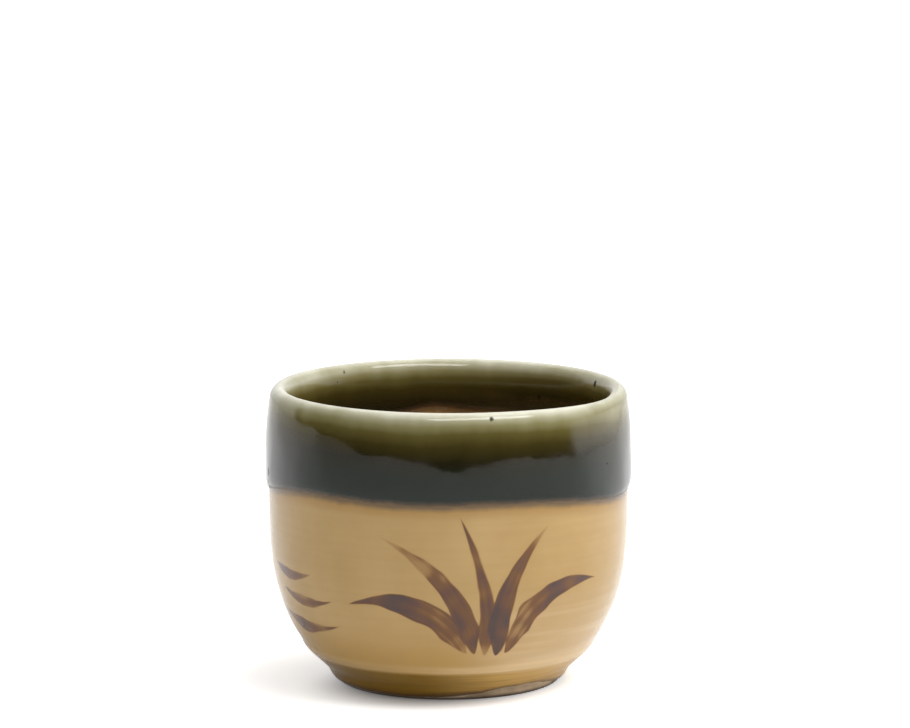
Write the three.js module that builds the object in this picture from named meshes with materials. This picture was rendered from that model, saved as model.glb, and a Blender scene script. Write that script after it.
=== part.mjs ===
// Sake cup: a thrown stoneware cup on a turned foot, with each fired coat of glaze as a body of its own.
// Millimetres, +Z up. The origin is on the table under the middle of the cup, and the front faces -Y.
// Angles run round the axis from the front, towards +X.

import * as THREE from "three";

// Clay wall, outside
const CUP_HEIGHT = 45.85; // table to the crest of the clay lip
const BELLY_RADIUS = 27.5; // widest clay
const BELLY_HEIGHT = 32; // table to the widest clay
const RIDGE_RADIUS = 21.95; // edge where the thrown wall ends and the trimmed cone begins
const RIDGE_HEIGHT = 5.7;
const RIDGE_ROUND = 0.9; // length of the softened edge to each side of the ridge
const WALL_FLARE = THREE.MathUtils.degToRad(31.7); // lean of the wall just above the ridge
const WALL_PULL_LOW = 0.36; // share of the wall's rise over which it keeps that lean
const WALL_PULL_HIGH = 0.49; // share of the wall's rise over which it turns upright

// Clay lip
const LIP_RADIUS = 26.3; // circle of the crest
const LIP_THICKNESS = 1.9;
const LIP_ROUND = 1.2; // height of the rounded edge

// Clay inside
const WALL_THICKNESS = 2.4; // at the belly
const FLOOR_THICKNESS = 3.6;
const FLOOR_RADIUS = 7; // flat middle of the floor
const BOWL_PULL_HIGH = 0.62; // share of the inside's drop over which it stays upright
const BOWL_PULL_LOW = 0.5; // share of the inside's width over which it turns flat

// Turned foot
const FOOT_RADIUS = 17.35; // at the table
const FOOT_HEIGHT = 2.1; // table to the ankle, where the trimmed cone begins
const FOOT_FLARE = 0.6; // how much wider the ankle is than the foot at the table
const ANKLE_FILLET = 0.8;
const RING_WIDTH = 2.9; // foot ring at the table
const RING_ROUND = 0.35; // softened edges of the ring
const WELL_DEPTH = 2.2; // hollow inside the ring
const WELL_DRAFT = 0.9; // how far the well's wall leans in

// Glaze coats
const OUTER_GLAZE = 0.4;
const LINER_GLAZE = 0.35;
const WELL_GLAZE = 0.3;
const RIM_GLAZE = 0.45;
const LIP_COAT = 0.12; // what is left of each coat where it drains off the crest
const LIP_DRAIN = 3; // height below the crest over which the coats thin out
const BOND = 0.05; // clearance between a coat and what it lies on
const EDGE_ROLL = 0.7; // height of the rounded edge where a coat ends

// Edges of the coats
const GLAZE_LINE = 1.15; // bare clay left above the table
const GLAZE_LINE_WAVE = 0.25; // how far that line wanders up and down
const GLAZE_LINE_WAVES = 3;
const DIP_HEIGHT = 31.8; // lower edge of the rim coat, outside
const INNER_DIP_HEIGHT = 37.6; // lower edge of the rim coat, inside
const DIP_SWING = 0.8; // the dip line sinks at the two sides of the cup
const DIP_RIPPLE = 0.25; // and ripples a little on the way round
const DIP_RIPPLES = 5;

// Facets
const SEGMENTS = 48; // round the axis
const WALL_STEPS = 6; // up the outside, from the ridge to the belly
const BOWL_STEPS = 7; // down the inside, from the belly to the floor
const NECK_STEPS = 3; // between the belly and the lip, and along a coat above its edge
const LIP_STEPS = 4; // up each side of the lip
const CREST_STEPS = 2; // lip steps by which the amber coats stop short of the crest
const FILLET_STEPS = 2;
const EDGE_STEPS = [0, 0.25, 1]; // where the points of a rolled edge lie on its height
const HAIR = 1e-6; // tells a point from one at the same height

const vec = (radius, height) => new THREE.Vector2(radius, height);
const towards = (from, to, distance) => from.clone().add(to.clone().sub(from).setLength(distance));

// One line of points along curves that follow each other, each given with its number of steps.
function joinCurves(curves) {
  return curves.flatMap(([curve, steps], i) => curve.getPoints(steps).slice(i ? 1 : 0));
}

// A corner of two straight stretches, softened over the same length on both sides.
function softCorner(before, corner, after, length) {
  const start = towards(corner, before, length);
  const end = towards(corner, after, length);
  return new THREE.QuadraticBezierCurve(start, corner, end);
}

// Where a line that climbs all the way passes a height.
function pointAtHeight(line, height) {
  const above = line.findIndex((point, i) => i > 0 && point.y >= height);
  const upper = line[above];
  const lower = line[above - 1];
  return lower.clone().lerp(upper, (height - lower.y) / (upper.y - lower.y));
}

// The clay's profile in four lines, from the middle of the well round to the middle of the floor.
const floorHeight = WELL_DEPTH + FLOOR_THICKNESS;
const ringInside = FOOT_RADIUS - RING_WIDTH;
const shoulderHeight = CUP_HEIGHT - LIP_ROUND;
const halfLip = LIP_THICKNESS / 2;

function wellLine() {
  const middle = vec(0, WELL_DEPTH);
  const corner = vec(ringInside - WELL_DRAFT, WELL_DEPTH);
  const ringEdge = vec(ringInside, 0);
  const ringFlat = vec(ringInside + RING_ROUND, 0);
  const fillet = softCorner(middle, corner, ringEdge, ANKLE_FILLET);
  const edge = softCorner(corner, ringEdge, ringFlat, RING_ROUND);
  return [middle, ...joinCurves([[fillet, FILLET_STEPS]]), ...joinCurves([[edge, FILLET_STEPS]])];
}

function outerLine() {
  const footEdge = vec(FOOT_RADIUS, 0);
  const ankle = vec(FOOT_RADIUS + FOOT_FLARE, FOOT_HEIGHT);
  const ridge = vec(RIDGE_RADIUS, RIDGE_HEIGHT);
  const belly = vec(BELLY_RADIUS, BELLY_HEIGHT);
  const shoulder = vec(LIP_RADIUS + halfLip, shoulderHeight);
  const rise = BELLY_HEIGHT - RIDGE_HEIGHT;
  const lean = vec(Math.sin(WALL_FLARE), Math.cos(WALL_FLARE));
  const wallStart = ridge.clone().addScaledVector(lean, RIDGE_ROUND);
  const wall = new THREE.CubicBezierCurve(
    wallStart,
    wallStart.clone().addScaledVector(lean, WALL_PULL_LOW * rise),
    vec(BELLY_RADIUS, BELLY_HEIGHT - WALL_PULL_HIGH * rise),
    belly,
  );
  const bellyMid = vec(BELLY_RADIUS, (BELLY_HEIGHT + shoulderHeight) / 2);
  return [
    ...joinCurves([[softCorner(vec(ringInside, 0), footEdge, ankle, RING_ROUND), FILLET_STEPS]]),
    ...joinCurves([[softCorner(footEdge, ankle, ridge, ANKLE_FILLET), FILLET_STEPS]]),
    ...joinCurves([
      [softCorner(ankle, ridge, wallStart, RIDGE_ROUND), FILLET_STEPS],
      [wall, WALL_STEPS],
      [new THREE.QuadraticBezierCurve(belly, bellyMid, shoulder), NECK_STEPS],
    ]),
  ];
}

function lipLine() {
  const lip = new THREE.EllipseCurve(LIP_RADIUS, shoulderHeight, halfLip, LIP_ROUND, 0, Math.PI);
  return lip.getPoints(2 * LIP_STEPS);
}

function innerLine() {
  const insideRadius = BELLY_RADIUS - WALL_THICKNESS;
  const shoulder = vec(LIP_RADIUS - halfLip, shoulderHeight);
  const belly = vec(insideRadius, BELLY_HEIGHT);
  const floorEdge = vec(FLOOR_RADIUS, floorHeight);
  const drop = BELLY_HEIGHT - floorHeight;
  const bowl = new THREE.CubicBezierCurve(
    belly,
    vec(insideRadius, BELLY_HEIGHT - BOWL_PULL_HIGH * drop),
    vec(FLOOR_RADIUS + BOWL_PULL_LOW * (insideRadius - FLOOR_RADIUS), floorHeight),
    floorEdge,
  );
  const bellyMid = vec(insideRadius, (BELLY_HEIGHT + shoulderHeight) / 2);
  const upper = new THREE.QuadraticBezierCurve(shoulder, bellyMid, belly);
  return [...joinCurves([[upper, NECK_STEPS], [bowl, BOWL_STEPS]]), vec(0, floorHeight)];
}

const well = wellLine();
const outer = outerLine();
const lip = lipLine();
const inner = innerLine();
const outerToCrest = [...outer, ...lip.slice(1, LIP_STEPS + 1)];
const innerToCrest = [...lip.slice(LIP_STEPS), ...inner.slice(1)].reverse();

// Depth of a coat at a height: rounded off at its edge, and thinner where it drains off the lip.
function coatDepth(full, height, edge) {
  const climb = THREE.MathUtils.clamp((height - edge) / EDGE_ROLL, 0, 1);
  const rolled = Math.sqrt(1 - (1 - climb) ** 2);
  const drained = THREE.MathUtils.smoothstep(height, CUP_HEIGHT - LIP_DRAIN, CUP_HEIGHT);
  return rolled * THREE.MathUtils.lerp(full, LIP_COAT, drained);
}

// The two sides of a coat over a line of clay: its back at the lift, and its face proud of that by the depth.
// A coat whose depth is nothing at an end comes to one point there.
function coatSides(line, liftAt, depthAt) {
  const normals = line.map((_, i) => {
    const before = line[Math.max(i - 1, 0)];
    const after = line[Math.min(i + 1, line.length - 1)];
    const along = after.clone().sub(before).normalize();
    return vec(along.y, -along.x);
  });
  const offset = (i, distance) => line[i].clone().addScaledVector(normals[i], distance);
  const back = line.map((point, i) => offset(i, liftAt(point, i)));
  const face = line.flatMap((point, i) => {
    const depth = depthAt(point, i);
    return depth > 0 ? [offset(i, liftAt(point, i) + depth)] : [];
  });
  return { back, face };
}

// The points of a coat's line above a wavy edge: the rolled edge, even steps to a level, then the line's own.
function lineAboveEdge(line, edge, level) {
  const heights = EDGE_STEPS.map((share) => edge + share * EDGE_ROLL);
  for (let i = 1; i <= NECK_STEPS; i += 1) {
    heights.push(THREE.MathUtils.lerp(edge + EDGE_ROLL, level, i / NECK_STEPS));
  }
  const rest = line.filter((point) => point.y > level + HAIR);
  return [...heights.map((height) => pointAtHeight(line, height)), ...rest];
}

// Height of the rim coat's wavy edge above or below its mean, and of the glaze line at the foot.
const dipWave = (angle) =>
  DIP_SWING * Math.cos(2 * angle) + DIP_RIPPLE * Math.sin(DIP_RIPPLES * angle);
const footWave = (angle) => GLAZE_LINE_WAVE * Math.sin(GLAZE_LINE_WAVES * angle);

// Turns a closed profile, or one that starts and ends on the axis, round the axis.
function revolve(profile) {
  return new THREE.LatheGeometry(profile, SEGMENTS).rotateX(Math.PI / 2);
}

// Carries a coat round the axis, with its two sides free to change from angle to angle.
function loftRound(sidesAt) {
  const angles = Array.from({ length: SEGMENTS }, (_, i) => (2 * Math.PI * i) / SEGMENTS);
  const sections = angles.map((angle) => {
    const { back, face } = sidesAt(angle);
    return [...back, ...face.reverse()];
  });
  const count = sections[0].length;
  const positions = sections.flatMap((section, i) =>
    section.flatMap((p) => [p.x * Math.sin(angles[i]), -p.x * Math.cos(angles[i]), p.y]),
  );
  const index = [];
  for (let i = 0; i < SEGMENTS; i += 1) {
    const here = i * count;
    const next = ((i + 1) % SEGMENTS) * count;
    for (let j = 0; j < count; j += 1) {
      const k = (j + 1) % count;
      index.push(here + j, here + k, next + k);
      index.push(here + j, next + k, next + j);
    }
  }
  const geometry = new THREE.BufferGeometry();
  geometry.setAttribute("position", new THREE.Float32BufferAttribute(positions, 3));
  geometry.setIndex(index);
  geometry.computeVertexNormals();
  return geometry;
}

// Thrown and turned stoneware: the wall, the lip, the floor and the foot ring in one piece.
function clayBody() {
  return revolve([...well, ...outer, ...lip.slice(1), ...inner.slice(1)]);
}

// Amber coat outside, from the wavy glaze line at the foot to just short of the crest.
function outerGlaze() {
  const line = outerToCrest.slice(0, -CREST_STEPS);
  const ridgeStart = line.find((point) => point.y > FOOT_HEIGHT + ANKLE_FILLET);
  return loftRound((angle) => {
    const edge = GLAZE_LINE + footWave(angle);
    const above = lineAboveEdge(line, edge, ridgeStart.y);
    return coatSides(above, () => BOND, (point) => coatDepth(OUTER_GLAZE, point.y, edge));
  });
}

// Amber coat inside, from just short of the crest down to the middle of the floor.
function linerGlaze() {
  const line = innerToCrest.slice(0, -CREST_STEPS).reverse();
  const depthAt = (point) => coatDepth(LINER_GLAZE, point.y, -EDGE_ROLL);
  const { back, face } = coatSides(line, () => BOND, depthAt);
  return revolve([...back.reverse(), ...face]);
}

// Dark coat over the lip, on top of both amber coats, with a wavy rolled edge outside and inside.
function rimGlaze() {
  const crest = vec(LIP_RADIUS, CUP_HEIGHT);
  return loftRound((angle) => {
    const outerEdge = DIP_HEIGHT + dipWave(angle);
    const innerEdge = INNER_DIP_HEIGHT + dipWave(angle);
    const outside = lineAboveEdge(outerToCrest, outerEdge, shoulderHeight).slice(0, -1);
    const inside = lineAboveEdge(innerToCrest, innerEdge, shoulderHeight).slice(0, -1);
    const line = [...outside, crest, ...inside.reverse()];
    const isOutside = (i) => i <= outside.length;
    const amberAt = (point, i) =>
      coatDepth(isOutside(i) ? OUTER_GLAZE : LINER_GLAZE, point.y, -EDGE_ROLL);
    return coatSides(
      line,
      (point, i) => BOND + amberAt(point, i) + BOND,
      (point, i) => coatDepth(RIM_GLAZE, point.y, isOutside(i) ? outerEdge : innerEdge),
    );
  });
}

// Amber coat on the top of the well inside the foot ring, clear of the table.
function footWellGlaze() {
  const line = well.slice(0, FILLET_STEPS + 2);
  const { back, face } = coatSides(line, () => BOND, () => WELL_GLAZE);
  return revolve([...face, ...back.reverse()]);
}

function makeMesh(name, geometry, finish) {
  const mesh = new THREE.Mesh(geometry, new THREE.MeshStandardMaterial(finish));
  mesh.name = name;
  return mesh;
}

const bareClay = { color: 0xa89a86, roughness: 0.8, metalness: 0 };
const amberGlaze = { color: 0xb39162, roughness: 0.35, metalness: 0 };
const oliveGlaze = { color: 0x3a3218, roughness: 0.12, metalness: 0 };

const cup = new THREE.Group();
cup.name = "sake_cup";
cup.add(
  makeMesh("clay_body", clayBody(), bareClay),
  makeMesh("outer_glaze", outerGlaze(), amberGlaze),
  makeMesh("liner_glaze", linerGlaze(), amberGlaze),
  makeMesh("rim_glaze", rimGlaze(), oliveGlaze),
  makeMesh("foot_well_glaze", footWellGlaze(), amberGlaze),
);

export default cup;
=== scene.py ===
import math

import bmesh
import bpy
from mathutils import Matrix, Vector, noise


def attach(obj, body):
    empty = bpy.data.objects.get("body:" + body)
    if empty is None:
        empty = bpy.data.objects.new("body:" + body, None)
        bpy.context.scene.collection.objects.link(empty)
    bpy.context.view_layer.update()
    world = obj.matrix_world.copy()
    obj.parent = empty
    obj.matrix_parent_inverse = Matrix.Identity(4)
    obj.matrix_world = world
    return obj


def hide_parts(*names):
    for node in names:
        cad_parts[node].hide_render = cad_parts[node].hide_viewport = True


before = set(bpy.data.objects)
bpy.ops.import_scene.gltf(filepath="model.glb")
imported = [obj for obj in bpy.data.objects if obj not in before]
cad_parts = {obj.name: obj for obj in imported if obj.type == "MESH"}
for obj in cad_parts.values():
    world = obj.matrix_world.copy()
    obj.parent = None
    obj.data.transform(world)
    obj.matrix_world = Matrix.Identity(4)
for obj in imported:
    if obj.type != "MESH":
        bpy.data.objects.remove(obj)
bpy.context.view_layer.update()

MM = 0.001
FULL_TURN = 2 * math.pi

# The photograph's camera, in its frame of 910 x 728 pixels.
FRAME_WIDTH_PX = 910
FRAME_HEIGHT_PX = 728
FOCAL_PX = 5462
SENSOR_WIDTH = 36
VIEW_DISTANCE = 850 * MM
VIEW_ELEVATION = math.radians(10.75)
VIEW_POINT = Vector((0, 0, 24 * MM))
VIEW_POINT_X_PX = 448.4
VIEW_POINT_Y_PX = 525.5

# Fineness of the spun meshes.
SPIN_STEPS = 96
SMOOTH_LEVELS = 2
SAME_POINT = 1e-6

# The solids' own sizes in millimetres: radii, heights above the table, and the waves of the dip line.
LIP_RADIUS = 26.3
FOOT_SIDE_RADIUS = 15.5
SHOULDER_HEIGHT = 44.65
DIP_HEIGHT = 31.8
INNER_DIP_HEIGHT = 37.6
DIP_SWING = 0.8
DIP_RIPPLE = 0.25
DIP_RIPPLES = 5
GLAZE_LINE = 1.15
FOOT_TOP = 2.3

# How the dip line rises and falls round the cup: waves in a turn, then cosine and sine parts in millimetres.
DIP_MEAN = 31.38
DIP_WAVES = [(1, 0.0, 0.15), (2, 0.95, -0.50), (3, -0.14, -0.16), (4, -0.23, 0.44)]
DIP_WANDER = 0.08

# The dip line inside lies lower than the solid's, and rises at one place at the back.
INNER_DIP_DROP = 0.7
INNER_DIP_WANDER = 0.4
GLIMPSE_RISE = 0.72
GLIMPSE_ACROSS = -2.2
GLIMPSE_WIDTH = 4.5

# The glaze line at the foot lies lower than the solid's, and rises at the right of the front.
LINE_DROP = 0.72
LINE_WANDER = 0.10
LINE_RISE = 1.3
LINE_RISE_TURN = 0.66
LINE_RISE_WIDTH = 0.46

# The fall of the lip at the right of the front, and the heights over which the wall follows it.
LIP_FALL = 0.46
LIP_FALL_HEIGHTS = (38, 45)
LIP_FALL_TURN = 1.18
LIP_FALL_FRONT_WIDTH = 0.55
LIP_FALL_BACK_WIDTH = 0.24

# How deep the edges of the coats are bedded, how far up that reaches, and the same for the worn foot.
RIM_BED_DEPTH = 0.42
RIM_BED_REACH = 1.7
LINE_BED_DEPTH = 0.28
LINE_BED_REACH = 0.8
FOOT_WEAR_DEPTH = 0.3
FOOT_WEAR_REACH = 0.7

# Soft unevenness of the surfaces, which fades near the rim coat's edge and is slight on the lip.
RIM_SWELL = 0.055
RIM_RIPPLE = 0.012
RIM_CALM_ABOVE_EDGE = 2
RIM_CALM_BELOW_SHOULDER = 3
RIM_CALM_ON_LIP = 0.1
OUTER_SWELL = 0.03
LINER_SWELL = 0.02
CLAY_SWELL = 0.03
WELL_SWELL = 0.02

# Marks of throwing and trimming: rings low on the wall, the ridge, and a groove above it.
RING_DEPTH = 0.13
RING_SPACING = 1.3
RING_CHANGE = 0.6
RING_SEED = 3.3
RINGS_HEIGHT = 10
RINGS_REACH = 9
RIDGE_SWELL = 0.06
RIDGE_HEIGHT = 6.1
RIDGE_WIDTH = 0.45
GROOVE_DEPTH = 0.10
GROOVE_HEIGHT = 7.3
GROOVE_WIDTH = 0.7

# Stretches of the dark coat, each from where it starts to where it is full, in millimetres:
# heights above the table, then places across to the right, then places away from the viewer.
CROWN = (45, 45.7)
BELOW_CROWN = (44.9, 43.7)
SHOULDER = (43.8, 45.2)
RIGHT_SIDE = (14, 22)
RIGHT_END = (21.5, 25.5)
LEFT_SIDE = (-8, -16)
LEFT_FRONT = (-8, -15)
LEFT_END = (-18, -23)
FAR_INSIDE = (-8, -2)
FAR_OUTSIDE = (0, 6)

# How much paler or darker than its height tells the dark coat is there, in millimetres of height: partly where
# it runs thinner or thicker, partly painted light and shade from the lamps on the right.
INSIDE_STEEPNESS = 0.16
INSIDE_LEVEL = 43.4
INSIDE_CURVE = 0.0006
# Painted shade: the inside a little darker all over than the outside at the same height.
INSIDE_PAINTED_SHADE = 0.12
# Painted light: the inside of the left end paler, where the lamps on the right reach it, less so on the crown.
LEFT_END_PAINTED_LIGHT = 0.6
LEFT_END_CROWN_LOSS = 0.5
# Painted shade: the inside crown darker on the right.
RIGHT_CROWN_PAINTED_SHADE = 0.3
FAR_CROWN_DROP = 0.45
FAR_LEFT_CROWN_DROP = 0.23
# Painted shade: the far inside wall below the crown darker, most towards the right.
FAR_WALL_PAINTED_SHADE = 0.15
FAR_RIGHT_PAINTED_SHADE = 0.75
FAR_RIGHT_ACROSS = 16
FAR_RIGHT_WIDTH = 7
FRONT_LIFT = 0.1
FRONT_ACROSS = 8
FRONT_WIDTH = 10
# Painted shade: the outside darker at the left of the front.
LEFT_FRONT_PAINTED_SHADE = 0.45
# Painted light: the outside paler at the right end below the shoulder, turning a little darker on the crown
# above it.
RIGHT_END_PAINTED_LIGHT = 0.9
RIGHT_END_SHOULDER_LOSS = 1.4
FAR_LIP_DROP = 0.5


# Shapes

def front_section(node):
    """The solid's profile at the front of the cup, as loose edges in the plane x = 0."""
    section = bmesh.new()
    section.from_mesh(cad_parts[node].data)
    bmesh.ops.remove_doubles(section, verts=section.verts, dist=SAME_POINT)
    bmesh.ops.bisect_plane(
        section,
        geom=section.verts[:] + section.edges[:] + section.faces[:],
        dist=SAME_POINT,
        plane_co=(0, 0, 0),
        plane_no=(1, 0, 0),
        clear_inner=True,
        clear_outer=True,
    )
    behind = [v for v in section.verts if v.co.y > SAME_POINT]
    bmesh.ops.delete(section, geom=behind, context="VERTS")
    return section


def spun(section):
    """Turns a profile once round the cup's axis into a closed skin."""
    bmesh.ops.spin(
        section,
        geom=section.verts[:] + section.edges[:],
        cent=(0, 0, 0),
        axis=(0, 0, 1),
        angle=FULL_TURN,
        steps=SPIN_STEPS,
        use_merge=True,
    )
    bmesh.ops.remove_doubles(section, verts=section.verts, dist=SAME_POINT)
    bmesh.ops.recalc_face_normals(section, faces=section.faces)
    return section


def smoothed(shape, name):
    """The shape as a mesh with its subdivision applied, ready for fine moves of its points."""
    rough = bpy.data.meshes.new(name)
    shape.to_mesh(rough)
    shape.free()
    holder = bpy.data.objects.new(name, rough)
    bpy.context.scene.collection.objects.link(holder)
    subdivision = holder.modifiers.new("subdivision", "SUBSURF")
    subdivision.levels = subdivision.render_levels = SMOOTH_LEVELS
    graph = bpy.context.evaluated_depsgraph_get()
    fine = bpy.data.meshes.new_from_object(holder.evaluated_get(graph))
    bpy.data.objects.remove(holder)
    bpy.data.meshes.remove(rough)
    fine.name = name
    return fine


def turn_of(point):
    """Angle round the axis from the front, towards +X."""
    return math.atan2(point.x, -point.y)


def radius_of(point):
    """Distance from the axis, in millimetres."""
    return math.hypot(point.x, point.y) / MM


def share_of_way(value, start, end):
    """How far a value has come from start to end, held between 0 and 1."""
    return min(max((value - start) / (end - start), 0), 1)


def hump(place, middle, width):
    """1 at the middle and nothing a few widths away."""
    return math.exp(-((place - middle) / width) ** 2)


def bedding(above, depth, reach):
    """How far an edge sinks in: its depth at the edge, more below it, and nothing from its reach upwards."""
    return depth * max(1 - above / reach, 0) ** 2


def wander(turn, waves, seed):
    """A hand-made unevenness round the cup, between about -1 and 1."""
    return noise.noise(Vector((waves * math.cos(turn), waves * math.sin(turn), seed)))


def swell(point, size, seed):
    """Soft unevenness of a glaze over lengths of about the given size in millimetres."""
    return noise.noise(point / (size * MM) + Vector((0, 0, seed)))


def dip_wave(turn):
    """How far the solid's dip line lies above or below its mean, in millimetres."""
    return DIP_SWING * math.cos(2 * turn) + DIP_RIPPLE * math.sin(DIP_RIPPLES * turn)


def dip_line(turn):
    """Where the dark coat ends outside, in millimetres above the table."""
    uneven = sum(c * math.cos(n * turn) + s * math.sin(n * turn) for n, c, s in DIP_WAVES)
    return DIP_MEAN + uneven + DIP_WANDER * wander(turn, waves=9, seed=1.7)


def inner_dip_line(turn):
    """Where the dark coat ends inside, higher at one place at the back, where the amber shows."""
    uneven = INNER_DIP_WANDER * wander(turn, waves=3, seed=4.2)
    line = INNER_DIP_HEIGHT - INNER_DIP_DROP + dip_wave(turn) + uneven
    if math.cos(turn) < 0:
        line += GLIMPSE_RISE * hump(LIP_RADIUS * math.sin(turn), GLIMPSE_ACROSS, GLIMPSE_WIDTH)
    return line


def glaze_line(turn):
    """Where the amber coat ends above the table: low all round, and higher at the right of the front."""
    uneven = LINE_WANDER * (wander(turn, waves=2.5, seed=7.1) + wander(turn, waves=8, seed=2.2))
    return GLAZE_LINE - LINE_DROP + LINE_RISE * hump(turn, LINE_RISE_TURN, LINE_RISE_WIDTH) + uneven


def push_out(point, distance):
    """The point moved away from the cup's axis by a distance in millimetres."""
    across = Vector((point.x, point.y, 0))
    if across.length > SAME_POINT:
        point = point + across.normalized() * distance * MM
    return point


def keep_values(mesh, name, values):
    """Keeps a number on every point of the mesh, for the glaze that follows it."""
    kept = mesh.attributes.new(name, "FLOAT", "POINT")
    kept.data.foreach_set("value", values)


def inside_thinness_and_painted_shading(point):
    """How much paler or darker than its height tells the dark coat is inside: partly thinner glaze, partly
    painted light and shade, paler at the left end, darker far off and at the right.
    """
    across = point.x / MM
    away = point.y / MM
    height = point.z / MM
    crown = share_of_way(height, *CROWN)
    below_crown = share_of_way(height, *BELOW_CROWN)
    far = share_of_way(away, *FAR_INSIDE)
    left_end = LEFT_END_PAINTED_LIGHT * share_of_way(across, *LEFT_END) * (1 - LEFT_END_CROWN_LOSS * crown)
    lift = INSIDE_STEEPNESS * (height - INSIDE_LEVEL) - INSIDE_CURVE * across ** 2 - INSIDE_PAINTED_SHADE + left_end
    lift -= RIGHT_CROWN_PAINTED_SHADE * share_of_way(across, *RIGHT_SIDE) * crown
    lift -= far * (FAR_CROWN_DROP + FAR_LEFT_CROWN_DROP * share_of_way(across, *LEFT_SIDE)) * crown
    far_right = hump(across, FAR_RIGHT_ACROSS, FAR_RIGHT_WIDTH)
    lift -= far * (FAR_WALL_PAINTED_SHADE + FAR_RIGHT_PAINTED_SHADE * far_right) * below_crown
    return lift


def outside_thinness_and_painted_shading(point):
    """The same outside: darker at the left of the front as painted shade, paler at the right end as painted
    light, a little paler right of the front's middle, and darker on the far lip.
    """
    across = point.x / MM
    away = point.y / MM
    height = point.z / MM
    lift = FRONT_LIFT * hump(across, FRONT_ACROSS, FRONT_WIDTH)
    lift -= LEFT_FRONT_PAINTED_SHADE * share_of_way(across, *LEFT_FRONT)
    shoulder_loss = RIGHT_END_SHOULDER_LOSS * share_of_way(height, *SHOULDER)
    lift += RIGHT_END_PAINTED_LIGHT * share_of_way(across, *RIGHT_END) * (1 - shoulder_loss)
    lift -= FAR_LIP_DROP * share_of_way(height, *CROWN) * share_of_way(away, *FAR_OUTSIDE)
    return lift


def sculpt_rim(mesh):
    """Waves the two dip lines, beds their edges into the amber coats and swells the thick glaze a little."""
    front_edge = DIP_HEIGHT + dip_wave(0)
    inner_front_edge = INNER_DIP_HEIGHT + dip_wave(0)
    calm_shoulder = (SHOULDER_HEIGHT, SHOULDER_HEIGHT - RIM_CALM_BELOW_SHOULDER)
    edge_heights = []
    thin_and_shade_lifts = []
    for vertex in mesh.vertices:
        point = vertex.co.copy()
        turn = turn_of(point)
        outside = radius_of(point) > LIP_RADIUS
        # Paler or darker glaze per point: partly its thinning, partly painted light and shade.
        thin_and_shade_lifts.append(outside_thinness_and_painted_shading(point) if outside else inside_thinness_and_painted_shading(point))
        start = front_edge if outside else inner_front_edge
        edge = dip_line(turn) if outside else inner_dip_line(turn)
        point.z += (edge - start) * share_of_way(point.z / MM, SHOULDER_HEIGHT, start) * MM
        height = point.z / MM
        above = height - edge
        edge_heights.append(above)
        calm = share_of_way(above, 0, RIM_CALM_ABOVE_EDGE)
        calm *= max(share_of_way(height, *calm_shoulder), RIM_CALM_ON_LIP)
        uneven = RIM_SWELL * swell(point, size=4.5, seed=5.5) + RIM_RIPPLE * swell(point, size=1.8, seed=1.0)
        outwards = uneven * calm - bedding(above, RIM_BED_DEPTH, RIM_BED_REACH)
        vertex.co = push_out(point, outwards if outside else -outwards)
    keep_values(mesh, "above_edge", edge_heights)
    keep_values(mesh, "thin_and_shade_lift", thin_and_shade_lifts)


def thrown_marks(height, turn):
    """The faint rings of the thrower's fingers, which climb as they go round, and the ridge and groove."""
    spiral = height / RING_SPACING + turn / FULL_TURN
    rings = noise.noise(Vector((spiral, RING_CHANGE * math.cos(turn), RING_SEED)))
    rings *= max(1 - abs(height - RINGS_HEIGHT) / RINGS_REACH, 0)
    ridge = RIDGE_SWELL * hump(height, RIDGE_HEIGHT, RIDGE_WIDTH)
    return RING_DEPTH * rings + ridge - GROOVE_DEPTH * hump(height, GROOVE_HEIGHT, GROOVE_WIDTH)


def sculpt_outer(mesh):
    """Wanders the glaze line at the foot, beds it into the clay, and leaves the marks of throwing."""
    for vertex in mesh.vertices:
        point = vertex.co.copy()
        turn = turn_of(point)
        height = point.z / MM
        line = glaze_line(turn)
        share = share_of_way(height, FOOT_TOP, GLAZE_LINE)
        point.z += (line - GLAZE_LINE) * share * MM
        drift = thrown_marks(height, turn) + OUTER_SWELL * swell(point, size=7, seed=8.0) * (1 - share)
        bedded = bedding(point.z / MM - line, LINE_BED_DEPTH, LINE_BED_REACH)
        vertex.co = push_out(point, drift - bedded)
    points = [vertex.co for vertex in mesh.vertices]
    keep_values(mesh, "below_dip", [dip_line(turn_of(p)) - p.z / MM for p in points])
    keep_values(mesh, "above_line", [p.z / MM - glaze_line(turn_of(p)) for p in points])


def sculpt_liner(mesh):
    """Swells the poured coat inside a little, and notes where the dark glaze ends above it."""
    for vertex in mesh.vertices:
        vertex.co = push_out(vertex.co, LINER_SWELL * swell(vertex.co, size=6, seed=5.0))
    points = [vertex.co for vertex in mesh.vertices]
    keep_values(mesh, "below_dip", [inner_dip_line(turn_of(p)) - p.z / MM for p in points])


def sculpt_clay(mesh):
    """Roughens the turned foot where it is bare, and wears its outer edge round."""
    for vertex in mesh.vertices:
        height = vertex.co.z / MM
        if radius_of(vertex.co) > FOOT_SIDE_RADIUS and height < FOOT_TOP:
            foot_edge_change = bedding(height, FOOT_WEAR_DEPTH, FOOT_WEAR_REACH)
            vertex.co = push_out(vertex.co, CLAY_SWELL * swell(vertex.co, size=1.5, seed=9.0) - foot_edge_change)


def sculpt_well(mesh):
    """Swells the coat in the well a little."""
    for vertex in mesh.vertices:
        vertex.co.z += WELL_SWELL * MM * swell(vertex.co, size=5, seed=6.0)


def settle_lip(mesh):
    """Lets the lip fall a little at the right of the front, where the potter's hand left it uneven."""
    for vertex in mesh.vertices:
        share = share_of_way(vertex.co.z / MM, *LIP_FALL_HEIGHTS)
        turn = turn_of(vertex.co)
        width = LIP_FALL_FRONT_WIDTH if turn < LIP_FALL_TURN else LIP_FALL_BACK_WIDTH
        vertex.co.z -= LIP_FALL * MM * share * hump(turn, LIP_FALL_TURN, width)


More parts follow.
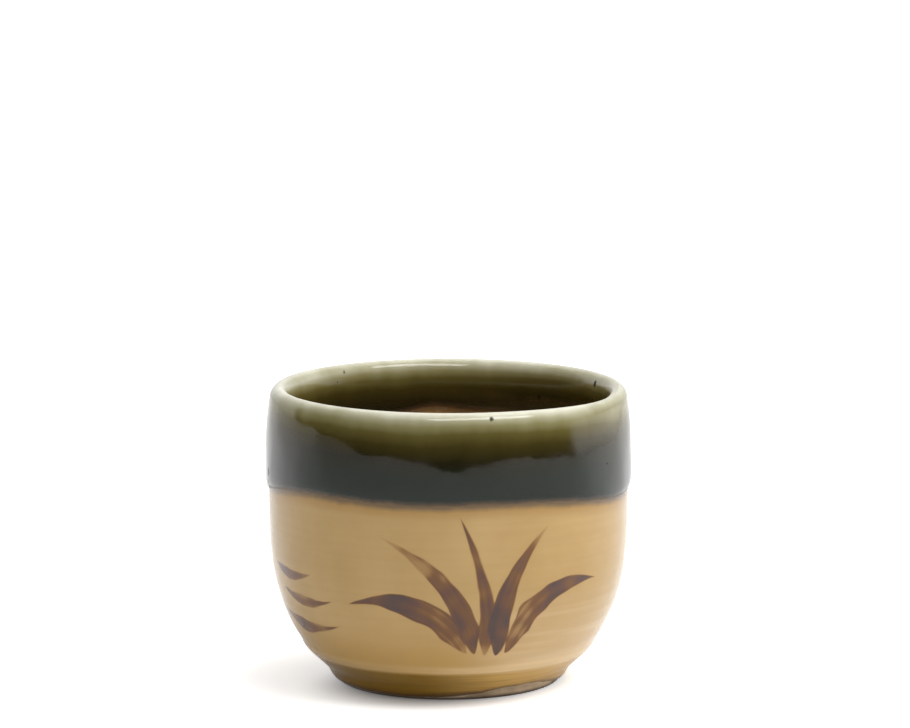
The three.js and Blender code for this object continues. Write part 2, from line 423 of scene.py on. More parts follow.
def make_piece(node, sculpt):
    """Spins the finer form of a solid, moves its points with sculpt and shows it in the solid's place."""
    mesh = smoothed(spun(front_section(node)), node + "_fine")
    sculpt(mesh)
    settle_lip(mesh)
    for face in mesh.polygons:
        face.use_smooth = True
    piece = bpy.data.objects.new(node + "_fine", mesh)
    bpy.context.scene.collection.objects.link(piece)
    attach(piece, "root")
    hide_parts(node)
    return piece


# Materials

# Radius at which distances round the cup are measured, and depth of the finest bumps, in millimetres.
PAINTED_RADIUS = 27.9
BUMP_DEPTH = 0.05

# Index of refraction of the outer glazes.
GLAZE_IOR = 1.45

# Stretches of a noise's values over which a finish changes.
NARROW_NOISE = (0.35, 0.65)
NOISE = (0.3, 0.7)
WIDE_NOISE = (0.25, 0.75)

# Shares of a seed by which specks are shifted along the three axes.
SPECK_SHIFT = (1, 0.37, 0.71)

# Places of the sockets of a mixing node, for numbers and for colours.
MIX_FACTOR = 0
NUMBER_UNDER = 2
NUMBER_OVER = 3
NUMBER_RESULT = 0
COLOUR_UNDER = 6
COLOUR_OVER = 7
COLOUR_RESULT = 2

# Colours, linear.
SPECK = (0.02, 0.014, 0.009)
LIP_CREAM = (0.69, 0.67, 0.54)
LIP_STRAW = (0.43, 0.41, 0.27)
OLIVE_PALE = (0.255, 0.23, 0.105)
OLIVE = (0.115, 0.094, 0.025)
OLIVE_DARK = (0.050, 0.038, 0.008)
OLIVE_DEEP = (0.018, 0.0145, 0.0045)
OLIVE_BLACK = (0.007, 0.0125, 0.007)
DIP_EDGE = (0.12, 0.085, 0.055)
AMBER_PALE = (0.57, 0.375, 0.15)
AMBER = (0.50, 0.315, 0.112)
AMBER_LOW = (0.50, 0.30, 0.085)
# Glaze broken thin over the ridge, with a painted highlight in it.
AMBER_THIN_AND_HIGHLIGHT = (0.79, 0.58, 0.31)
# Painted light on the lower right of the amber wall.
AMBER_PAINTED_BOUNCE = (0.80, 0.60, 0.37)
AMBER_HALO = (0.42, 0.235, 0.065)
AMBER_OLIVE = (0.215, 0.115, 0.010)
# Painted light on the right of the foot's cone.
AMBER_GOLD_PAINTED_LIGHT = (0.60, 0.36, 0.085)
AMBER_POOL = (0.13, 0.058, 0.010)
BRUSH_PALE = (0.42, 0.22, 0.07)
BRUSH_BROWN = (0.205, 0.088, 0.025)
BRUSH_PURPLE = (0.135, 0.062, 0.038)
BRUSH_DARK = (0.088, 0.053, 0.045)
CLAY_PALE = (0.74, 0.58, 0.40)
CLAY_DARK = (0.28, 0.20, 0.125)
# Painted contact shadow at the foot's lowest edge.
CLAY_CONTACT_SHADOW = (0.11, 0.08, 0.05)


class Nodes:
    """A node tree, with short calls for the nodes that the finishes are made of."""

    def __init__(self, tree):
        self.tree = tree

    def node(self, kind, inputs=None, **settings):
        """Adds a node with its settings, and feeds its inputs."""
        made = self.tree.nodes.new(kind)
        for name, value in settings.items():
            setattr(made, name, value)
        for key, value in (inputs or {}).items():
            self.feed(made.inputs[key], value)
        return made

    def feed(self, socket, value):
        """Links another node's result to a socket, or sets the socket to a constant."""
        if isinstance(value, bpy.types.NodeSocket):
            self.tree.links.new(value, socket)
        else:
            socket.default_value = value

    def math(self, operation, first, second=0.0, clamp=False):
        made = self.node("ShaderNodeMath", {0: first, 1: second}, operation=operation, use_clamp=clamp)
        return made.outputs[0]

    def times(self, first, second):
        return self.math("MULTIPLY", first, second)

    def plus(self, first, second):
        return self.math("ADD", first, second)

    def minus(self, first, second):
        return self.math("SUBTRACT", first, second)

    def vector(self, operation, first, second=(0, 0, 0), result="Vector"):
        made = self.node("ShaderNodeVectorMath", {0: first, 1: second}, operation=operation)
        return made.outputs[result]

    def fade(self, value, start, end, low=0.0, high=1.0, kind="SMOOTHSTEP"):
        """Goes smoothly from low at start to high at end."""
        values = {"Value": value, "From Min": start, "From Max": end, "To Min": low, "To Max": high}
        made = self.node("ShaderNodeMapRange", values, interpolation_type=kind)
        return made.outputs["Result"]

    def ramp(self, factor, stops):
        """Colours at places from 0 to 1."""
        made = self.node("ShaderNodeValToRGB", {"Fac": factor})
        points = made.color_ramp.elements
        while len(points) < len(stops):
            points.new(1.0)
        for point, (place, colour) in zip(points, stops):
            point.position = place
            point.color = (*colour, 1)
        return made.outputs["Color"]

    def blend(self, factor, under, over):
        """A colour that goes from under to over with the factor."""
        made = self.node("ShaderNodeMix", {MIX_FACTOR: factor}, data_type="RGBA")
        for place, value in ((COLOUR_UNDER, under), (COLOUR_OVER, over)):
            self.feed(made.inputs[place], (*value, 1) if isinstance(value, tuple) else value)
        return made.outputs[COLOUR_RESULT]

    def choose(self, flag, otherwise, chosen):
        """The chosen number where the flag is 1, and the other where it is 0."""
        values = {MIX_FACTOR: flag, NUMBER_UNDER: otherwise, NUMBER_OVER: chosen}
        return self.node("ShaderNodeMix", values, data_type="FLOAT").outputs[NUMBER_RESULT]


class Finish(Nodes):
    """A procedural material that knows its place on the cup in millimetres: across, unrolled and in height."""

    def __init__(self, name):
        self.material = bpy.data.materials.new(name)
        self.material.use_nodes = True
        super().__init__(self.material.node_tree)
        self.shader = self.tree.nodes["Principled BSDF"]
        self.coordinates = self.node("ShaderNodeTexCoord").outputs["Object"]
        parts = self.node("ShaderNodeSeparateXYZ", {"Vector": self.coordinates}).outputs
        self.across = self.times(parts["X"], 1 / MM)
        self.height = self.times(parts["Z"], 1 / MM)
        turn = self.math("ARCTAN2", parts["X"], self.times(parts["Y"], -1))
        around = self.times(turn, PAINTED_RADIUS)
        self.unrolled = self.node("ShaderNodeCombineXYZ", {"X": around, "Y": self.height}).outputs[0]

    def noise(self, size, detail=2.0, stretch=(1, 1, 1)):
        """Noise of about the given size in millimetres, drawn out along an axis by stretch."""
        scale = [1 / (size * MM * s) for s in stretch]
        mapped = self.node("ShaderNodeMapping", {"Vector": self.coordinates, "Scale": scale})
        values = {"Vector": mapped.outputs[0], "Scale": 1.0, "Detail": detail}
        return self.node("ShaderNodeTexNoise", values).outputs["Fac"]

    def uneven(self, size, low, high):
        """A value that wanders from low to high over about the given size in millimetres."""
        return self.fade(self.noise(size), *NOISE, low, high)

    def attribute(self, name):
        return self.node("ShaderNodeAttribute", attribute_name=name).outputs["Fac"]

    def specks(self, spacing, radius, share, seed):
        """1 on small round specks, with only a share of the places that could hold one."""
        shift = [seed * s for s in SPECK_SHIFT]
        scale = [1 / (spacing * MM)] * 3
        values = {"Vector": self.coordinates, "Location": shift, "Scale": scale}
        mapped = self.node("ShaderNodeMapping", values)
        cells = self.node("ShaderNodeTexVoronoi", {"Vector": mapped.outputs[0], "Scale": 1.0})
        edge = radius / spacing
        near = self.fade(cells.outputs["Distance"], edge, edge / 2)
        pick = self.node("ShaderNodeSeparateColor", {"Color": cells.outputs["Color"]})
        return self.times(near, self.math("LESS_THAN", pick.outputs[0], share))

    def bump(self, height, strength):
        values = {"Height": height, "Strength": strength, "Distance": BUMP_DEPTH * MM}
        made = self.node("ShaderNodeBump", values)
        self.feed(self.shader.inputs["Normal"], made.outputs["Normal"])

    def gloss(self, roughness, ior=1.5):
        self.feed(self.shader.inputs["Roughness"], roughness)
        self.shader.inputs["IOR"].default_value = ior

    def mirror(self, level):
        self.feed(self.shader.inputs["Specular IOR Level"], level)

    def colour(self, value):
        self.feed(self.shader.inputs["Base Color"], value)


# The dark glaze in millimetres: heights from thick to thin, how uneven they are with the middle of that,
# and stretches above the dip line, which is ragged too.
OLIVE_HEIGHTS = (36.0, 46.4)
OLIVE_STREAKS = 0.5
OLIVE_CLOUDS = 1.1
OLIVE_UNEVEN_MIDDLE = 0.8
EDGE_RAGGED = 0.4
EDGE_THINNING = (1.4, 0.4)
EDGE_THINNEST = (0.75, 0.2)
EDGE_DULL = (1.3, 0.6)

# Larger iron specks in the dark glaze: place round the cup, height and radius in millimetres,
# then how ragged and how strong they all are, and where their soft edges lie outside the radius.
IRON_SPECKS = [
    (6.6, 45.3, 0.34), (54.8, 44.75, 0.55), (-67.5, 45.2, 0.24), (-37.8, 33.6, 0.75), (-38.2, 32.0, 0.4),
    (17.6, 39.0, 0.22), (28.5, 36.4, 0.2), (-22.0, 41.5, 0.2), (70.0, 41.0, 0.4), (-84.0, 38.0, 0.35),
]
IRON_RAGGED = 0.6
IRON_STRENGTH = 0.9
IRON_OUTER_EDGE = 0.45
IRON_INNER_EDGE = 0.1


def iron_specks(f):
    """How strongly the larger specks cover each place. Their edges are a little ragged."""
    ragged = f.times(f.noise(0.4), IRON_RAGGED)
    found = 0.0
    for around, height, radius in IRON_SPECKS:
        distance = f.plus(f.vector("DISTANCE", f.unrolled, (around, height, 0), result="Value"), ragged)
        spot = f.fade(distance, radius + IRON_OUTER_EDGE, radius + IRON_INNER_EDGE, high=IRON_STRENGTH)
        found = f.math("MAXIMUM", found, spot)
    return found


def olive_glaze():
    """Dark glossy glaze, thin and pale on the lip and nearly black where it is thick."""
    f = Finish("olive_glaze")
    streaks = f.noise(2.6, stretch=(1, 1, 4))
    clouds = f.noise(6)
    uneven = f.plus(f.times(streaks, OLIVE_STREAKS), f.times(clouds, OLIVE_CLOUDS))
    # The kept lift holds painted light and shade as well as the glaze's thinning, so the ramp below paints
    # them into the colour.
    lift = f.plus(f.attribute("thin_and_shade_lift"), f.minus(uneven, OLIVE_UNEVEN_MIDDLE))
    level = f.plus(f.height, lift)
    depth = f.ramp(f.fade(level, *OLIVE_HEIGHTS, kind="LINEAR"), [
        (0.0, OLIVE_BLACK), (0.28, OLIVE_DEEP), (0.50, OLIVE_DARK), (0.67, OLIVE),
        (0.79, OLIVE_PALE), (0.88, LIP_STRAW), (0.95, LIP_CREAM),
    ])
    above = f.plus(f.attribute("above_edge"), f.times(f.noise(2.5, detail=1), EDGE_RAGGED))
    thinning = f.blend(f.fade(above, *EDGE_THINNING), depth, DIP_EDGE)
    thinnest = f.blend(f.fade(above, *EDGE_THINNEST, high=0.3), thinning, AMBER_HALO)
    specks = f.math("MAXIMUM", f.specks(spacing=4.5, radius=0.2, share=0.3, seed=3.1), iron_specks(f))
    f.colour(f.blend(specks, thinnest, SPECK))
    at_edge = f.fade(above, *EDGE_DULL)
    dullness = f.fade(at_edge, 0, 1, high=0.3, kind="LINEAR")
    f.gloss(f.plus(f.fade(clouds, *NOISE, low=0.05, high=0.11), dullness), ior=GLAZE_IOR)
    off_specks = f.fade(specks, 0.2, 0.8, low=0.5, high=0.05)
    f.mirror(f.times(off_specks, f.fade(at_edge, 0, 1, low=1.0, high=0.6)))
    f.bump(f.noise(1.6, detail=3), strength=0.08)
    return f.material


# Stretches of the amber glaze, each from where it starts to where it is full, in millimetres:
# distances below the dip line, heights above the table, places across, and the edge above the glaze line.
OUTER_HALO = (2.9, 0.6)
LINER_HALO = (4, 0.3)
DIP_STAIN = (1.2, 0.1)
WARM_HEIGHTS = (13, 7)
# The painted light on the lower right of the wall lies below these heights.
PAINTED_BOUNCE_HEIGHTS = (20, 9)
RIDGE_ABOVE = (6.8, 6.0)
RIDGE_BELOW = (4.85, 5.35)
CONE_HEIGHTS = (5.3, 4.5)
LINER_POOL = (9.5, 6.4)
WARM_SIDE = (12, -4)
PAINTED_BOUNCE_SIDE = (1, 14)
# Sides over which the painted highlight on the ridge and the painted light on the cone grow towards the right.
RIDGE_HIGHLIGHT_SIDE = (-10, 10)
CONE_LIT_SIDE = (-6, 13)
LINE_SIDE = (1, 12)
SHADED_SIDE = (6, -6)
LINE_POOL = (1.3, 0.1)

# How unevenly the glaze follows those stretches: the stain below the dip line, and the heights at the foot
# with the middle of their unevenness. Then the share of clouds in the wall's tint, which bands make up to 1.
STAIN_RAGGED = 0.5
FOOT_UNEVEN = 0.6
FOOT_UNEVEN_MIDDLE = 0.3
CLOUD_SHARE = 0.72


def amber_wall(f):
    """The amber glaze's own colour, in clouds and in bands that go round the cup."""
    clouds = f.noise(9, detail=3)
    bands = f.noise(1.6, stretch=(14, 14, 0.6))
    tint = f.plus(f.times(clouds, CLOUD_SHARE), f.times(bands, 1 - CLOUD_SHARE))
    return f.ramp(tint, [(0.3, AMBER), (0.7, AMBER_PALE)])


def dip_stain(f, wall, below, halo, halo_share, stain_share):
    """The wall stained just below the dark coat, which has run into it."""
    haloed = f.blend(f.fade(below, *halo, high=halo_share), wall, AMBER_HALO)
    return f.blend(f.fade(below, *DIP_STAIN, high=stain_share), haloed, DIP_EDGE)


def outer_wall(f):
    """The amber wall outside, warmer low on the left, and paler low on the right as painted light from the
    bright table, banded along the rings of throwing as a painted sheen.
    """
    warm = f.times(f.fade(f.height, *WARM_HEIGHTS, high=0.9), f.fade(f.across, *WARM_SIDE, low=0.15))
    warmed = f.blend(warm, amber_wall(f), AMBER_LOW)
    # Painted light: the lower right of the wall made paler, in bands that follow the throwing rings as a
    # painted sheen.
    bare = f.times(f.fade(f.height, *PAINTED_BOUNCE_HEIGHTS), f.fade(f.across, *PAINTED_BOUNCE_SIDE, high=0.42))
    rings = f.fade(f.noise(1.5, detail=1, stretch=(20, 20, 0.8)), *NARROW_NOISE, low=0.6, high=1.3)
    return f.blend(f.times(bare, rings), warmed, AMBER_PAINTED_BOUNCE)


def amber_foot(f, wall, level, cone):
    """The wall's glaze broken thin over the ridge with a painted highlight there, olive on the cone where the
    glaze runs thick and where painted shade lies, gold on its right as painted light, and dark at its edge.
    """
    ridge = f.times(f.fade(level, *RIDGE_ABOVE), f.fade(level, *RIDGE_BELOW))
    # Painted highlight on the ridge, stronger to the right, over the glaze's real thinning there.
    thin = f.times(ridge, f.fade(f.across, *RIDGE_HIGHLIGHT_SIDE, low=0.3))
    lines = f.fade(f.noise(0.9, stretch=(16, 16, 0.6)), *WIDE_NOISE, low=0.4, high=0.82)
    broken = f.blend(f.times(thin, lines), wall, AMBER_THIN_AND_HIGHLIGHT)
    # Painted light: gold on the right of the cone; its olive is partly thicker glaze and partly painted shade.
    gold = f.times(lines, f.fade(f.across, *CONE_LIT_SIDE, low=0.22, high=1.7))
    cone_glaze_and_painted_light = f.blend(cone, broken, f.blend(gold, AMBER_OLIVE, AMBER_GOLD_PAINTED_LIGHT))
    above = f.times(f.attribute("above_line"), f.fade(f.across, *LINE_SIDE, low=1.0, high=1.5))
    pool = f.times(f.fade(above, *LINE_POOL), f.fade(f.across, *LINE_SIDE, low=1.0, high=0.8))
    return f.blend(pool, cone_glaze_and_painted_light, AMBER_POOL)


def amber_glaze():
    """Glossy amber glaze of the outside, with the brushed decoration under it."""
    f = Finish("amber_glaze")
    below = f.plus(f.attribute("below_dip"), f.times(f.noise(2.5), STAIN_RAGGED))
    stained = dip_stain(f, outer_wall(f), below, OUTER_HALO, halo_share=0.75, stain_share=0.8)
    uneven = f.times(f.noise(4, stretch=(3, 3, 1)), FOOT_UNEVEN)
    level = f.minus(f.plus(f.height, uneven), FOOT_UNEVEN_MIDDLE)
    cone = f.fade(level, *CONE_HEIGHTS)
    painted = brushwork(f, amber_foot(f, stained, level, cone))
    f.colour(f.blend(f.specks(spacing=7, radius=0.25, share=0.12, seed=1.3), painted, SPECK))
    shaded = f.times(cone, f.fade(f.across, *SHADED_SIDE))
    f.mirror(f.fade(shaded, 0, 1, low=0.5, high=0.12))
    f.gloss(f.uneven(3, low=0.12, high=0.2), ior=GLAZE_IOR)
    f.bump(f.noise(1.4), strength=0.04)
    return f.material


# Brushed decoration: a clump of grass and three ripples, each stroke from start to end in millimetres
# round the cup and above the table, then bow, width, tapers and how loaded the brush is at both ends.
STROKE_ENDS = ("Start", "End")
STROKE_VALUES = ("Bow", "Width", "Start Taper", "End Taper", "Start Load", "End Load")
STROKES = [
    ((4.6, 8.6), (-11.5, 27.5), -3.2, 4.0, 0.16, 0.80, 0.80, 0.40),
    ((6.4, 8.2), (1.5, 31.0), -1.4, 3.2, 0.12, 0.85, 0.50, 0.75),
    ((8.4, 8.2), (16.5, 29.0), 2.8, 3.8, 0.14, 0.80, 0.90, 0.45),
    ((10.0, 8.6), (27.0, 19.0), 4.4, 4.6, 0.25, 0.70, 0.50, 0.90),
    ((3.2, 8.8), (-17.0, 16.0), -4.2, 4.6, 0.25, 0.70, 0.50, 0.95),
    ((-37.0, 12.6), (-19.0, 12.2), -1.5, 2.6, 0.40, 0.60, 0.90, 0.45),
    ((-33.5, 16.4), (-19.5, 16.2), -1.2, 2.4, 0.40, 0.60, 0.70, 0.45),
    ((-36.0, 20.0), (-24.0, 19.8), -1.0, 2.4, 0.40, 0.60, 0.85, 0.40),
]

# How the brush behaves: what makes its bow full halfway, how blunt its ends are, how its width wobbles,
# how soft its edges are in millimetres, how its hairs streak, how the wash varies, and how pigment
# gathers at the edges.
FULL_HALFWAY = 4.0
START_BLUNTNESS = 0.5
END_BLUNTNESS = 0.7
WOBBLE_SCALE = 0.17
HALF_WIDTHS = (0.42, 0.60)
SOFT_OUTSIDE = 0.1
SOFT_INSIDE = 0.45
HAIRS_ALONG = 0.10
HAIRS_ACROSS = 1.6
HAIR_STRENGTHS = (0.86, 1.08)
WASH_SCALE = 0.2
WASH_NOISE = (0.3, 0.68)
WASH_STRENGTHS = (0.7, 1.2)
GATHER_START = 0.6
GATHER_STRENGTH = 0.1


def brush_stroke():
    """A group that gives the pigment of one stroke at a place on the wall."""
    group = bpy.data.node_groups.new("brush_stroke", "ShaderNodeTree")
    for name in ("Place", *STROKE_ENDS):
        group.interface.new_socket(name, in_out="INPUT", socket_type="NodeSocketVector")
    for name in STROKE_VALUES:
        group.interface.new_socket(name, in_out="INPUT", socket_type="NodeSocketFloat")
    group.interface.new_socket("Pigment", in_out="OUTPUT", socket_type="NodeSocketFloat")
    g = Nodes(group)
    given = g.node("NodeGroupInput").outputs

    # Place along the stroke and across it, with the bow taken out.
    reach = g.vector("SUBTRACT", given["End"], given["Start"])
    length = g.vector("LENGTH", reach, result="Value")
    heading = g.vector("NORMALIZE", reach)
    offset = g.vector("SUBTRACT", given["Place"], given["Start"])
    along = g.vector("DOT_PRODUCT", offset, heading, result="Value")
    aside = g.node("ShaderNodeSeparateXYZ", {0: g.vector("CROSS_PRODUCT", heading, offset)}).outputs["Z"]
    share = g.math("DIVIDE", along, length)
    left = g.minus(1.0, share)
    bend = g.times(g.times(share, left), g.times(given["Bow"], FULL_HALFWAY))
    across = g.math("ABSOLUTE", g.minus(aside, bend))

    # Half the stroke's width there, and how far it covers.
    entry = g.math("POWER", g.math("DIVIDE", share, given["Start Taper"], clamp=True), START_BLUNTNESS)
    leaving = g.math("POWER", g.math("DIVIDE", left, given["End Taper"], clamp=True), END_BLUNTNESS)
    wobble = g.node("ShaderNodeTexNoise", {"Vector": given["Place"], "Scale": WOBBLE_SCALE, "Detail": 1.0})
    swing = g.fade(wobble.outputs["Fac"], *WIDE_NOISE, *HALF_WIDTHS)
    half = g.times(g.times(entry, leaving), g.times(given["Width"], swing))
    cover = g.fade(across, g.plus(half, SOFT_OUTSIDE), g.minus(half, SOFT_INSIDE))

    # How much pigment lies there.
    hair_place = {"X": g.times(along, HAIRS_ALONG), "Y": g.times(across, HAIRS_ACROSS), "Z": given["Width"]}
    hairs = g.node("ShaderNodeCombineXYZ", hair_place).outputs[0]
    dry = g.node("ShaderNodeTexNoise", {"Vector": hairs, "Scale": 1.0, "Detail": 2.0})
    streak = g.fade(dry.outputs["Fac"], *NOISE, *HAIR_STRENGTHS)
    wash = g.node("ShaderNodeTexNoise", {"Vector": given["Place"], "Scale": WASH_SCALE, "Detail": 1.0})
    wet = g.fade(wash.outputs["Fac"], *WASH_NOISE, *WASH_STRENGTHS)
    spread = g.minus(given["End Load"], given["Start Load"])
    load = g.plus(given["Start Load"], g.times(spread, share))
    gathered = g.fade(across, g.times(half, GATHER_START), half, high=GATHER_STRENGTH)
    laid = g.times(g.times(load, streak), wet)
    ink = g.math("MULTIPLY", cover, g.plus(laid, gathered), clamp=True)
    g.feed(g.node("NodeGroupOutput").inputs["Pigment"], ink)
    return group


def brushwork(f, under):
    """Lays the strokes over the wall, darker where one crosses another."""
    group = brush_stroke()
    clear = 1.0
    for start, end, *values in STROKES:
        stroke = f.node("ShaderNodeGroup", node_tree=group)
        f.feed(stroke.inputs["Place"], f.unrolled)
        for name, place in zip(STROKE_ENDS, (start, end)):
            f.feed(stroke.inputs[name], (*place, 0))
        for name, value in zip(STROKE_VALUES, values):
            f.feed(stroke.inputs[name], value)
        clear = f.times(clear, f.minus(1.0, stroke.outputs["Pigment"]))
    ink = f.minus(1.0, clear)
    pigment = f.ramp(ink, [
        (0.20, BRUSH_PALE), (0.48, BRUSH_BROWN), (0.72, BRUSH_PURPLE), (0.95, BRUSH_DARK),
    ])
    return f.blend(f.fade(ink, 0.03, 0.55), under, pigment)


def liner_glaze():
    """Amber glaze inside, deeper and greener where it has run together on the floor."""
    f = Finish("liner_amber_glaze")
    below = f.attribute("below_dip")
    stained = dip_stain(f, amber_wall(f), below, LINER_HALO, halo_share=0.8, stain_share=0.75)
    pool = f.blend(f.fade(f.height, *LINER_POOL, high=0.85), stained, AMBER_OLIVE)
    f.colour(f.blend(f.specks(spacing=6, radius=0.25, share=0.12, seed=5.3), pool, SPECK))
    f.gloss(f.uneven(3, low=0.2, high=0.3))
    f.bump(f.noise(1.2, detail=3), strength=0.06)
    return f.material


def well_glaze():
    """Amber glaze in the hollow of the foot, thicker and olive."""
    f = Finish("well_amber_glaze")
    f.colour(f.blend(f.noise(4, detail=3), AMBER_OLIVE, AMBER))
    f.gloss(f.uneven(3, low=0.2, high=0.32))
    f.bump(f.noise(1.2, detail=3), strength=0.08)
    return f.material


# Heights of the painted contact shadow on the bare clay, just above the flat that it stands on, in
# millimetres, and the share of patches in the clay's tone, which its grain makes up to 1.
CONTACT_SHADOW_ABOVE = (0.95, 0.15)
CONTACT_SHADOW_BELOW = (0.02, 0.12)
PATCH_SHARE = 0.82


def bare_clay():
    """Unglazed grey-buff stoneware with a fine grain and a few dark grains."""
    f = Finish("bare_clay")
    grain = f.noise(0.35, detail=3)
    tone = f.plus(f.times(f.noise(5), PATCH_SHARE), f.times(grain, 1 - PATCH_SHARE))
    clay = f.ramp(tone, [(0.35, CLAY_DARK), (0.65, CLAY_PALE)])
    # Painted contact shadow: the clay darkened just above the table where it stands, but not on its flat
    # underside.
    edge = f.times(f.fade(f.height, *CONTACT_SHADOW_ABOVE), f.fade(f.height, *CONTACT_SHADOW_BELOW))
    foot_edge_change = f.blend(edge, clay, CLAY_CONTACT_SHADOW)
    f.colour(f.blend(f.specks(spacing=1.6, radius=0.14, share=0.2, seed=2.7), foot_edge_change, SPECK))
    f.gloss(f.uneven(0.5, low=0.7, high=0.9))
    f.bump(f.noise(0.25, detail=4), strength=0.35)
    return f.material


# Stage

# The table top: its colour, its edges in metres, how it brightens away from the middle of the cup's
# shadow, and the glare that the glaze mirrors from behind the cup.
FLOOR_WHITE = (0.86, 0.86, 0.855)
FLOOR_ROUGHNESS = 0.9
FLOOR_FRONT = -0.345
FLOOR_BACK = 2.4
FLOOR_LEFT = -1.8
FLOOR_RIGHT = 0.30
SHADOW_PLACE = (-0.004, -0.0076, 0)
SHADOW_START = 0.0080
SHADOW_END = 0.0201
SHADOW_LIFT = 0.08
FLOOR_LIFT = 0.553
WHITE_START = 0.0177
WHITE_END = 0.0569
BACK_GLARE = 0.45
GLARE_START = -0.06
GLARE_END = 0.08

# The surroundings: soft light for the cup, and what its glaze mirrors, with edges as parts of a direction.
SOFT_LIGHT = 0.47
SIDES_GLOW = 1.0
ROOM_GLOW = 0.03
ROOM_LEAN = 0.264
SIDES_EDGE = 0.25
ROOM_EDGE = 0.09
WINDOW_GLOW = 0.9
WINDOW_BELOW_SILL = 0.3
WINDOW_BOTTOM = (-0.15, -0.03)
WINDOW_TOP = (0.11, 0.03)
WINDOW_SIDE = (0.55, 0.85)

# Lamps: place, width and depth in metres, power in watts, and whether it is only seen in the glaze.
LAMPS = [
    ("key_lamp", (0.84, -0.36, 0.22), 0.7, 0.7, 1.1, False),
    ("top_lamp", (0.25, -0.06, 0.64), 0.5, 0.5, 4.3, False),
    ("soft_box", (0.22, -0.40, 0.70), 0.85, 0.24, 4.7, True),
    ("window_strip", (0.74, -0.55, 0.36), 0.09, 0.5, 0.06, True),
]


def floor_material():
    """Pale matt white, lit from within for the camera where the cup's shadow doesn't reach."""
    material = bpy.data.materials.new("floor")
    material.use_nodes = True
    f = Nodes(material.node_tree)
    shader = f.tree.nodes["Principled BSDF"]
    shader.inputs["Base Color"].default_value = (*FLOOR_WHITE, 1)
    shader.inputs["Roughness"].default_value = FLOOR_ROUGHNESS
    shader.inputs["Specular IOR Level"].default_value = 0.0
    shader.inputs["Emission Color"].default_value = (1, 1, 1, 1)
    path = f.node("ShaderNodeLightPath").outputs
    place = f.node("ShaderNodeTexCoord").outputs["Object"]
    distance = f.vector("DISTANCE", place, SHADOW_PLACE, result="Value")
    near = f.fade(distance, SHADOW_START, SHADOW_END, SHADOW_LIFT, FLOOR_LIFT)
    away = f.plus(near, f.fade(distance, WHITE_START, WHITE_END, high=1.0 - FLOOR_LIFT))
    behind = f.node("ShaderNodeSeparateXYZ", {0: place}).outputs["Y"]
    glare = f.times(path["Is Glossy Ray"], f.fade(behind, GLARE_START, GLARE_END, high=BACK_GLARE))
    seen = f.math("MAXIMUM", f.times(path["Is Camera Ray"], away), glare)
    f.feed(shader.inputs["Emission Strength"], seen)
    return material


def make_floor():
    """Table top, which ends in front of the cup as a table does."""
    shape = bmesh.new()
    bmesh.ops.create_grid(shape, x_segments=1, y_segments=1, size=1)
    half_sizes = ((FLOOR_RIGHT - FLOOR_LEFT) / 2, (FLOOR_BACK - FLOOR_FRONT) / 2, 1)
    middle = ((FLOOR_RIGHT + FLOOR_LEFT) / 2, (FLOOR_BACK + FLOOR_FRONT) / 2, 0)
    bmesh.ops.scale(shape, verts=shape.verts, vec=half_sizes)
    bmesh.ops.translate(shape, verts=shape.verts, vec=middle)
    mesh = bpy.data.meshes.new("floor")
    shape.to_mesh(mesh)
    shape.free()
    floor = bpy.data.objects.new("floor", mesh)
    bpy.context.scene.collection.objects.link(floor)
    mesh.materials.append(floor_material())


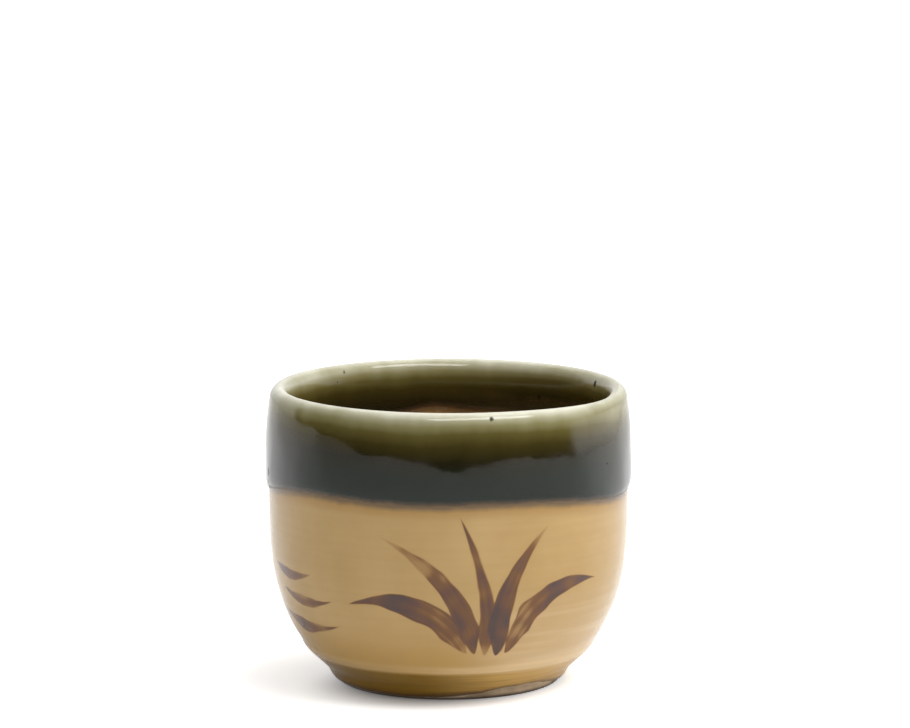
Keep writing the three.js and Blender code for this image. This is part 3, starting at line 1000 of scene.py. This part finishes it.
def make_world():
    """Even soft light, with white surroundings at the sides and behind and a dim room in front."""
    world = bpy.data.worlds.new("studio")
    bpy.context.scene.world = world
    world.use_nodes = True
    w = Nodes(world.node_tree)
    background = w.tree.nodes["Background"]
    direction = w.node("ShaderNodeTexCoord").outputs["Generated"]
    facing = w.node("ShaderNodeSeparateXYZ", {0: direction}).outputs
    leaning = w.plus(facing["Y"], w.times(facing["X"], ROOM_LEAN))
    white = w.fade(leaning, SIDES_EDGE, ROOM_EDGE, SIDES_GLOW, ROOM_GLOW)
    above_sill = w.fade(facing["Z"], *WINDOW_BOTTOM, low=WINDOW_BELOW_SILL)
    pane = w.times(above_sill, w.fade(facing["Z"], *WINDOW_TOP))
    window = w.times(pane, w.fade(facing["X"], *WINDOW_SIDE, high=WINDOW_GLOW))
    bright = w.times(window, w.fade(leaning, ROOM_EDGE, SIDES_EDGE))
    mirrored = w.plus(white, bright)
    path = w.node("ShaderNodeLightPath").outputs
    lit = w.choose(path["Is Glossy Ray"], SOFT_LIGHT, mirrored)
    seen = w.choose(path["Is Camera Ray"], lit, 1.0)
    w.feed(background.inputs["Strength"], seen)
    background.inputs["Color"].default_value = (1, 1, 1, 1)


def make_lamp(name, place, width, depth, power, mirrored):
    """A soft oblong lamp that faces the cup, and either lights it or is seen in the glaze."""
    data = bpy.data.lights.new(name, "AREA")
    data.shape = "RECTANGLE"
    data.size = width
    data.size_y = depth
    data.energy = power
    lamp = bpy.data.objects.new(name, data)
    lamp.location = place
    lamp.rotation_euler = (VIEW_POINT - Vector(place)).to_track_quat("-Z", "Y").to_euler()
    lamp.visible_glossy = mirrored
    lamp.visible_diffuse = not mirrored
    bpy.context.scene.collection.objects.link(lamp)


def make_camera():
    """Stands where the photograph was taken, aimed so that the cup lies where it does in the picture."""
    data = bpy.data.cameras.new("camera")
    data.sensor_width = SENSOR_WIDTH
    data.lens = FOCAL_PX * SENSOR_WIDTH / FRAME_WIDTH_PX
    camera = bpy.data.objects.new("camera", data)
    back = Vector((0, -math.cos(VIEW_ELEVATION), math.sin(VIEW_ELEVATION)))
    camera.location = VIEW_POINT + back * VIEW_DISTANCE
    lift = math.atan((VIEW_POINT_Y_PX - FRAME_HEIGHT_PX / 2) / FOCAL_PX)
    swing = math.atan((FRAME_WIDTH_PX / 2 - VIEW_POINT_X_PX) / FOCAL_PX)
    camera.rotation_euler = (math.pi / 2 - VIEW_ELEVATION + lift, 0, -swing)
    bpy.context.scene.collection.objects.link(camera)
    bpy.context.scene.camera = camera


def dress(piece, material):
    """Gives a piece its finish."""
    piece.data.materials.clear()
    piece.data.materials.append(material)


make_camera()
make_floor()
make_world()
for lamp_values in LAMPS:
    make_lamp(*lamp_values)

dress(make_piece("clay_body", sculpt_clay), bare_clay())
dress(make_piece("outer_glaze", sculpt_outer), amber_glaze())
dress(make_piece("liner_glaze", sculpt_liner), liner_glaze())
dress(make_piece("rim_glaze", sculpt_rim), olive_glaze())
dress(make_piece("foot_well_glaze", sculpt_well), well_glaze())

bpy.context.scene.view_settings.view_transform = "Standard"
